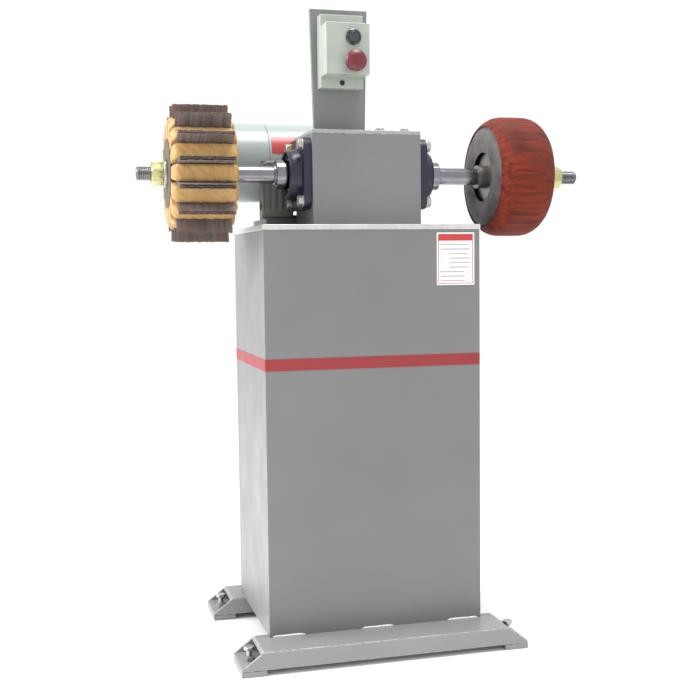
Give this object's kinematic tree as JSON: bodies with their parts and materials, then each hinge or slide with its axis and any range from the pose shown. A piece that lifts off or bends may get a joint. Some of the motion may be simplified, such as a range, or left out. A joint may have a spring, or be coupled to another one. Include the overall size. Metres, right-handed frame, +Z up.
{
  "type": "double-ended pedestal drum sander",
  "caption": "Pedestal sander with a belt-driven spindle: a brush-backed flap wheel at the left end and a pneumatic abrasive drum at the right.",
  "frame": {"origin": "on the floor, under the middle of the machine's overall length and depth", "axes": "+Z up, +X to the right along the spindle seen from the operator, +Y to the back"},
  "size_m": [0.859, 0.422, 1.1725],
  "materials": {
    "grey_paint": "semi-gloss grey enamel on sheet steel",
    "foot_paint": "grey enamel on rectangular tube",
    "plate_edge": "ground steel plate with a bright edge",
    "red_band": "red painted band",
    "card": "plain white card with a red border, no lettering",
    "zinc_steel": "zinc-plated steel",
    "dark_steel": "black oxide steel",
    "yellow_zinc": "yellow zinc-plated steel",
    "bright_steel": "ground bright steel",
    "navy_casting": "navy-painted iron casting",
    "switch_box_shell": "light grey-green moulded box",
    "black_plastic": "black moulded plastic",
    "red_plastic": "red moulded plastic",
    "motor_paint": "pale grey-green enamel",
    "dark_paint": "dark grey enamel",
    "conduit_paint": "grey-brown enamel",
    "red_plate": "plain red plate, no lettering",
    "iron_core": "varnished laminations and windings",
    "cast_pulley": "turned cast iron",
    "belt_rubber": "black rubber V-belt",
    "hub_aluminium": "turned aluminium",
    "bristle": "stiff tampico fibre",
    "abrasive_cloth": "slashed abrasive cloth",
    "grey_rubber": "grey rubber bladder",
    "abrasive_sleeve": "worn orange-red abrasive cloth"
  },
  "bodies": {
    "machine_frame": {"cabinet_shell": "grey_paint", "rear_door": "grey_paint", "rear_door_screws": "zinc_steel", "top_plate": "plate_edge", "stripe_band": "red_band", "notice_card": "card", "front_foot": "foot_paint", "rear_foot": "foot_paint", "foot_pads": "foot_paint", "foot_welds": "foot_paint", "headstock_box": "grey_paint", "headstock_lid": "plate_edge", "headstock_bolts": "zinc_steel", "lid_screws": "dark_steel", "belt_guard": "grey_paint", "belt_guard_screws": "zinc_steel", "mast": "grey_paint", "mast_bolts": "dark_steel", "left_bearing_housing": "navy_casting", "right_bearing_housing": "navy_casting", "bearing_bolts": "zinc_steel", "bearing_outer_races": "bright_steel", "bearing_balls": "bright_steel", "grease_nipples": "yellow_zinc", "switch_tray": "switch_box_shell", "switch_cover": "switch_box_shell", "switch_cover_screw": "dark_steel", "button_collars": "black_plastic", "contact_blocks": "black_plastic", "motor_frame": "motor_paint", "motor_stator": "iron_core", "motor_end_bells": "motor_paint", "motor_bearings": "bright_steel", "motor_fan_cover": "motor_paint", "motor_cradle": "dark_paint", "motor_rails": "dark_paint", "motor_rail_bolts": "zinc_steel", "conduit_box": "conduit_paint", "conduit_box_cover": "conduit_paint", "motor_plate": "red_plate", "drive_belt": "belt_rubber"},
    "spindle": {"spindle_shaft": "bright_steel", "bearing_inner_races": "bright_steel", "spindle_pulley": "cast_pulley", "brush_wheel_hub": "hub_aluminium", "brushes": "bristle", "abrasive_strips": "abrasive_cloth", "arbor_nuts_and_washers": "yellow_zinc", "drum_hub": "hub_aluminium", "drum_bladder": "grey_rubber", "drum_sleeve": "abrasive_sleeve"},
    "motor_shaft": {"motor_rotor": "bright_steel", "motor_fan": "black_plastic", "motor_pulley": "cast_pulley"},
    "start_push": {"start_button": "black_plastic"},
    "stop_push": {"stop_button": "red_plastic"},
    "jack_front_left": {"levelling_screw_front_left": "zinc_steel"},
    "jack_front_right": {"levelling_screw_front_right": "zinc_steel"},
    "jack_rear_left": {"levelling_screw_rear_left": "zinc_steel"},
    "jack_rear_right": {"levelling_screw_rear_right": "zinc_steel"}
  },
  "joints": [
    {"name": "spindle_spin", "type": "hinge", "parent": "machine_frame", "child": "spindle", "pos_m": [0, -0.028, 0.8765], "axis": [1, 0, 0], "continuous": true},
    {"name": "motor_spin", "type": "hinge", "parent": "machine_frame", "child": "motor_shaft", "pos_m": [0, 0.13, 0.912], "axis": [1, 0, 0], "continuous": true},
    {"name": "start_press", "type": "slide", "parent": "machine_frame", "child": "start_push", "axis": [0, 1, 0], "range_m": [0, 0.004], "stiffness_N_per_m": 900, "springref_m": -0.002},
    {"name": "stop_press", "type": "slide", "parent": "machine_frame", "child": "stop_push", "axis": [0, 1, 0], "range_m": [0, 0.005], "stiffness_N_per_m": 1200, "springref_m": -0.002},
    {"name": "jack_front_left_travel", "type": "slide", "parent": "machine_frame", "child": "jack_front_left", "axis": [0, 0, 1], "range_m": [-0.01, 0]},
    {"name": "jack_front_right_travel", "type": "slide", "parent": "machine_frame", "child": "jack_front_right", "axis": [0, 0, 1], "range_m": [-0.01, 0]},
    {"name": "jack_rear_left_travel", "type": "slide", "parent": "machine_frame", "child": "jack_rear_left", "axis": [0, 0, 1], "range_m": [-0.01, 0]},
    {"name": "jack_rear_right_travel", "type": "slide", "parent": "machine_frame", "child": "jack_rear_right", "axis": [0, 0, 1], "range_m": [-0.01, 0]}
  ],
  "couplings": [
    {"joint": "motor_spin", "follows": "spindle_spin", "ratio": 1.3768}
  ]
}
